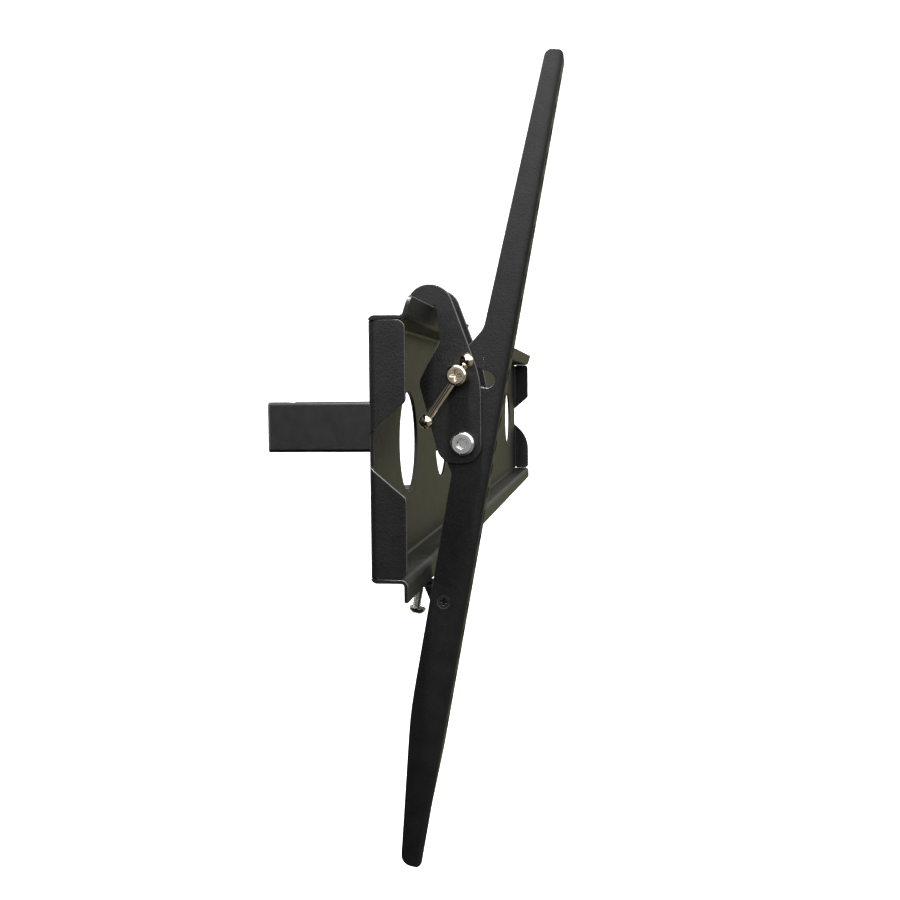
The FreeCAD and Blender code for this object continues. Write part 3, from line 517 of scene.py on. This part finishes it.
# %% The thread tree
# Radii are given in pitches, and the run-out as a share of the length.
RIDGE_RADIUS = 0.5
HELIX_DEPTH = 0.62
CORE_OVER_HELIX = 0.1
RUN_OUT_START = 0.94
RUN_OUT_SCALE = 0.2
STEPS_PER_TURN = 40
PROFILE_SIDES = 4


def socket_input(tree, name, kind):
    return tree.interface.new_socket(name, in_out="INPUT", socket_type=kind).identifier


def thread_tree():
    tree = bpy.data.node_groups.new("screw_thread", "GeometryNodeTree")
    tree.interface.new_socket("Mesh", in_out="OUTPUT", socket_type="NodeSocketGeometry")
    sizes = ("Diameter", "Pitch", "Length")
    names = {name: socket_input(tree, name, "NodeSocketFloat") for name in sizes}
    names["Finish"] = socket_input(tree, "Finish", "NodeSocketMaterial")
    inputs = tree.nodes.new("NodeGroupInput")
    diameter, pitch, length, finish = (Value(tree, inputs.outputs[name]) for name in names)
    helix_radius = 0.5 * diameter - HELIX_DEPTH * pitch
    spiral_sockets = {
        "Resolution": STEPS_PER_TURN,
        "Rotations": length / pitch,
        "Start Radius": helix_radius,
        "End Radius": helix_radius,
        "Height": length,
    }
    spiral = add_node(tree, "GeometryNodeCurveSpiral", {}, spiral_sockets)
    upright = add_node(tree, "GeometryNodeSetCurveNormal", {"mode": "Z_UP"}, {"Curve": spiral})
    run_out_sockets = {
        "Value": add_node(tree, "GeometryNodeSplineParameter", {}, {}),
        "From Min": RUN_OUT_START,
        "From Max": 1.0,
        "To Min": 1.0,
        "To Max": RUN_OUT_SCALE,
    }
    profile_sockets = {"Resolution": PROFILE_SIDES, "Radius": RIDGE_RADIUS * pitch}
    ridge_sockets = {
        "Curve": upright,
        "Profile Curve": add_node(tree, "GeometryNodeCurvePrimitiveCircle", {}, profile_sockets),
        "Scale": add_node(tree, "ShaderNodeMapRange", {}, run_out_sockets),
        "Fill Caps": True,
    }
    ridge = add_node(tree, "GeometryNodeCurveToMesh", {}, ridge_sockets)
    core_sockets = {
        "Vertices": STEPS_PER_TURN,
        "Radius": helix_radius + CORE_OVER_HELIX * pitch,
        "Depth": length,
    }
    core = add_node(tree, "GeometryNodeMeshCylinder", {}, core_sockets)
    raise_by = add_node(tree, "ShaderNodeCombineXYZ", {}, {"Z": 0.5 * length})
    raised = add_node(tree, "GeometryNodeTransform", {}, {"Geometry": core, "Translation": raise_by})
    joined = tree.nodes.new("GeometryNodeJoinGeometry")
    for part in (ridge, raised):
        tree.links.new(part.output, joined.inputs[0])
    whole = add_node(tree, "GeometryNodeRealizeInstances", {}, {"Geometry": Value(tree, joined.outputs[0])})
    dressed = add_node(tree, "GeometryNodeSetMaterial", {}, {"Geometry": whole, "Material": finish})
    output = tree.nodes.new("NodeGroupOutput")
    tree.links.new(dressed.output, output.inputs[0])
    return tree, names


THREAD, THREAD_INPUTS = thread_tree()


def thread_mesh(start, direction, thread, length, finish):
    """A threaded shaft from start along direction, as a plain mesh in place."""
    diameter, pitch = thread
    holder = bpy.data.objects.new("thread", bpy.data.meshes.new("thread"))
    bpy.context.scene.collection.objects.link(holder)
    modifier = holder.modifiers.new("thread", "NODES")
    modifier.node_group = THREAD
    values = {"Diameter": diameter, "Pitch": pitch, "Length": length, "Finish": finish}
    for name, value in values.items():
        modifier[THREAD_INPUTS[name]] = value
    mesh = baked(holder).data
    bpy.data.objects.remove(holder)
    turn = direction.to_track_quat("Z", "X").to_matrix().to_4x4()
    mesh.transform(Matrix.Translation(start) @ turn)
    smooth_but_sharp(mesh)
    return mesh


def joined_piece(piece, meshes):
    """Add meshes that carry the piece's own finish to it."""
    work = bmesh.new()
    work.from_mesh(piece.data)
    for mesh in meshes:
        work.from_mesh(mesh)
    work.to_mesh(piece.data)
    work.free()
    return flat_shaded(piece)


print("thread tree:", len(THREAD.nodes), "nodes")

# %% [markdown]
# ## The screws
# Every screw keeps its solid's head. Past a plane under the head, or just inside the outer face of
# its nut, the plain shank is cut away and a threaded shaft of the same size takes its place.

# %% Screws with threads
X_WAY = Vector((1, 0, 0))
Y_WAY = Vector((0, 1, 0))
Z_WAY = Vector((0, 0, 1))
screen_way = Vector(next(mount["axis"] for mount in record["mounts"] if mount["name"] == "tv_face"))
BRACKET_UP = Vector((0, screen_way.z, -screen_way.y))
# Diameter and pitch.
THREAD_5 = (5 * MM, 1.0 * MM)
THREAD_6 = (6 * MM, 1.0 * MM)
THREAD_8 = (8 * MM, 1.25 * MM)
THREAD_12 = (12 * MM, 1.75 * MM)
INSIDE_NUT = 1 * MM


def threaded(node, starts, direction, thread, length, round_edge):
    piece = softened(node, round_edge, cuts=[(starts[0], direction)])
    finish = piece.data.materials[0]
    meshes = [thread_mesh(start, direction, thread, length, finish) for start in starts]
    stand_for(joined_piece(piece, meshes), node)


def threaded_along_x(node, nut, axis_point, thread):
    """A screw along the plate, threaded from inside its nut to its end."""
    nut_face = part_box(nut)[1].x
    screw_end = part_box(node)[1].x
    start = Vector((nut_face - INSIDE_NUT, axis_point.y, axis_point.z))
    threaded(node, [start], X_WAY, thread, screw_end - start.x, round_edge=0.25 * MM)


clamp_axis = Vector(joint_of["clamp_turn"]["pos_m"])
threaded_along_x("clamp_screw", "clamp_nut", clamp_axis, THREAD_6)
threaded_along_x("tilt_pivot_bolt", "pivot_nut", tilt_pivot, THREAD_8)

YOKE_HEAD_RADIUS = 9 * MM
nut_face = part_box("yoke_nuts")[1].y
low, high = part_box("yoke_bolts")
starts = [
    Vector((x, nut_face - INSIDE_NUT, z))
    for x in (low.x + YOKE_HEAD_RADIUS, high.x - YOKE_HEAD_RADIUS)
    for z in (low.z + YOKE_HEAD_RADIUS, high.z - YOKE_HEAD_RADIUS)
]
threaded("yoke_bolts", starts, Y_WAY, THREAD_8, high.y - nut_face + INSIDE_NUT, round_edge=0.3 * MM)

nut_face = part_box("swivel_nut")[0].z
bolt_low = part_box("swivel_bolt")[0].z
swivel_axis = Vector(joint_of["plate_swivel"]["pos_m"])
start = Vector((swivel_axis.x, swivel_axis.y, nut_face + INSIDE_NUT))
threaded("swivel_bolt", [start], -Z_WAY, THREAD_12, start.z - bolt_low, round_edge=0.3 * MM)

SECURITY_HEAD_HEIGHT = 3.4 * MM
heights = [vertex.co.dot(BRACKET_UP) for vertex in frame["nodes"]["security_screw"].data.vertices]
low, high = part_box("security_screw")
seat = min(heights) + SECURITY_HEAD_HEIGHT
start = (low + high) / 2 + BRACKET_UP * (seat - (min(heights) + max(heights)) / 2)
threaded("security_screw", [start], BRACKET_UP, THREAD_5, max(heights) - seat, round_edge=0.2 * MM)
print("threaded clamp screw, tilt bolt, yoke bolts, swivel bolt and security screw")

# %% [markdown]
# ## The rest of the small pieces
# The loose end ball and the countersunk screw only need soft edges. The sliding bar is round all
# over, so it gets its finish without any bevel. Bushes, washers and spacer are mostly hidden, and
# keep their solids with the right finish.

# %% Small turned pieces
SMALL_ROUNDS_IN_MM = {"tommy_bar": 0.0, "tommy_bar_end_ball": 0.15, "clip_screw": 0.15}
HIDDEN = (
    "upper_swivel_bush",
    "lower_swivel_bush",
    "pivot_spacer",
    "near_friction_washer",
    "far_friction_washer",
)
for node, width in SMALL_ROUNDS_IN_MM.items():
    stand_for(softened(node, width * MM), node)
for node in HIDDEN:
    finish, edge_finish = finish_of[slot_of[node]]
    mesh = frame["nodes"][node].data
    mesh.materials.clear()
    mesh.materials.append(finish)
print("small pieces dressed")

# %% [markdown]
# ## Floor and backdrop
# The mount hangs over a plain pale floor in front of a white backdrop. Both only meet the camera's
# own rays: black paint seen at a flat angle is nearly a mirror, and a white room mirrored in it
# would turn the whole plate grey.

# %% Stage
WHITE = (1, 1, 1, 1)
FLOOR = -1.2
FAR = 9.0
BACKDROP_RADIUS = 1.3 * FAR


def glowing(name, strength):
    """A plain white finish that also gives off some light."""
    material, tree, shader = new_finish(name)
    sockets = {
        "Base Color": WHITE,
        "Roughness": 0.9,
        "Emission Color": WHITE,
        "Emission Strength": strength,
    }
    feed(tree, shader, sockets)
    return material


def stage_piece(name, mesh, material):
    mesh.materials.append(material)
    piece = bpy.data.objects.new(name, mesh)
    bpy.context.scene.collection.objects.link(piece)
    piece.visible_diffuse = False
    piece.visible_glossy = False
    piece.visible_shadow = False


floor_corners = [(-FAR, -FAR, FLOOR), (FAR, -FAR, FLOOR), (FAR, FAR, FLOOR), (-FAR, FAR, FLOOR)]
floor_mesh = bpy.data.meshes.new("floor")
floor_mesh.from_pydata(floor_corners, [], [(0, 1, 2, 3)])
stage_piece("floor", floor_mesh, glowing("pale_floor", strength=0.8))
ball = bmesh.new()
bmesh.ops.create_icosphere(ball, subdivisions=4, radius=BACKDROP_RADIUS)
backdrop_mesh = bpy.data.meshes.new("backdrop")
ball.to_mesh(backdrop_mesh)
ball.free()
stage_piece("backdrop", backdrop_mesh, glowing("white_backdrop", strength=1.0))
print("stage set")

# %% [markdown]
# ## Light
# The room around the mount is what its black paint mirrors. It is nearly black low down in front,
# olive towards the far end, a little brighter on the screen's side, and brightens upwards, less so
# towards the wall and the far end. A small strong lamp over the near end shines down past the top
# lip and lights the bottom flange. Weak lamps in front and beside the camera are the windows that
# bright metal mirrors.

# %% Room and lamps
FRONT_BLACK = (0.006, 0.006, 0.006, 1)
SCREEN_SIDE_GREY = (0.22, 0.21, 0.19, 1)
FAR_OLIVE = (0.250, 0.245, 0.158, 1)
OVERHEAD_WHITE = (2.65, 2.66, 2.72, 1)
FAR_DIMMING = 0.92
WALL_DIMMING = 0.6


def ramp(tree, value, start, end, high=1.0):
    """A smooth step of value from nothing at start to high at end."""
    sockets = {"Value": value, "From Min": start, "From Max": end, "To Min": 0.0, "To Max": high}
    return add_node(tree, "ShaderNodeMapRange", {"interpolation_type": "SMOOTHSTEP"}, sockets)


def room_colours(tree):
    """The colour of the room in every direction: x runs along the plate, y to the wall and z up."""
    way = add_node(tree, "ShaderNodeTexCoord", {}, {}, "Generated")
    along, across, up = (add_node(tree, "ShaderNodeSeparateXYZ", {}, {0: way}, axis) for axis in "XYZ")
    far_end = ramp(tree, along, start=-0.3, end=0.9)
    screen_end = ramp(tree, across, start=-0.2, end=-0.8)
    wall_end = ramp(tree, across, start=0.08, end=0.34)
    low_step = ramp(tree, up, start=0.02, end=0.16, high=0.5)
    high_step = ramp(tree, up, start=0.06, end=0.4, high=0.5)
    near_colour = mixed(tree, screen_end, FRONT_BLACK, SCREEN_SIDE_GREY)
    low_colour = mixed(tree, far_end, near_colour, FAR_OLIVE)
    brightness = (low_step + high_step) * (1 - FAR_DIMMING * far_end) * (1 - WALL_DIMMING * wall_end)
    return mixed(tree, brightness, low_colour, OVERHEAD_WHITE)


def soft_lamp(name, place, target, size, power, colour):
    data = bpy.data.lights.new(name, "AREA")
    data.shape = "DISK"
    data.size = size
    data.energy = power
    data.color = colour
    lamp = bpy.data.objects.new(name, data)
    lamp.location = place
    lamp.rotation_euler = (Vector(target) - Vector(place)).to_track_quat("-Z", "Y").to_euler()
    lamp.visible_camera = False
    bpy.context.scene.collection.objects.link(lamp)


world = bpy.data.worlds.new("room")
world.use_nodes = True
room = world.node_tree
background = next(node for node in room.nodes if node.type == "BACKGROUND")
feed(room, background, {"Color": room_colours(room), "Strength": 1.0})
bpy.context.scene.world = world

COOL = (0.98, 0.99, 1.0)
COLD = (0.96, 0.98, 1.0)
NEUTRAL = (1.0, 0.99, 0.97)
WARM = (1.0, 0.97, 0.92)
YELLOWISH = (1.0, 0.98, 0.93)
TILT_HEAD = (-0.35, -0.18, 0.02)
middle = (cad_box[0] + cad_box[1]) / 2
# Name, place, target, size in metres, power in watts and colour.
LAMPS = (
    ("over_near_end", (-0.5, -0.22, 1.0), (-0.38, -0.17, -0.05), 0.12, 68, COOL),
    ("screen_side", (-0.9, -1.6, 1.1), (-0.36, -0.16, -0.03), 0.5, 2, YELLOWISH),
    ("screen_panel", (-1.6, -1.5, 0.5), (-0.34, -0.18, 0.0), 1.2, 2.6, NEUTRAL),
    ("front_window", (-1.7, 0.0, 0.0), TILT_HEAD, 0.5, 0.16, WARM),
    ("camera_side", (-1.63, 0.16, 0.27), TILT_HEAD, 0.22, 0.16, NEUTRAL),
    ("left_window", (-1.5, 0.75, 0.25), (-0.34, -0.17, -0.03), 0.45, 0.3, NEUTRAL),
    ("wall_side", (0.6, 2.2, 1.4), middle, 1.4, 26, COLD),
)
for lamp_values in LAMPS:
    soft_lamp(*lamp_values)
bpy.context.scene.view_settings.view_transform = "Standard"
print("room and lamps placed")
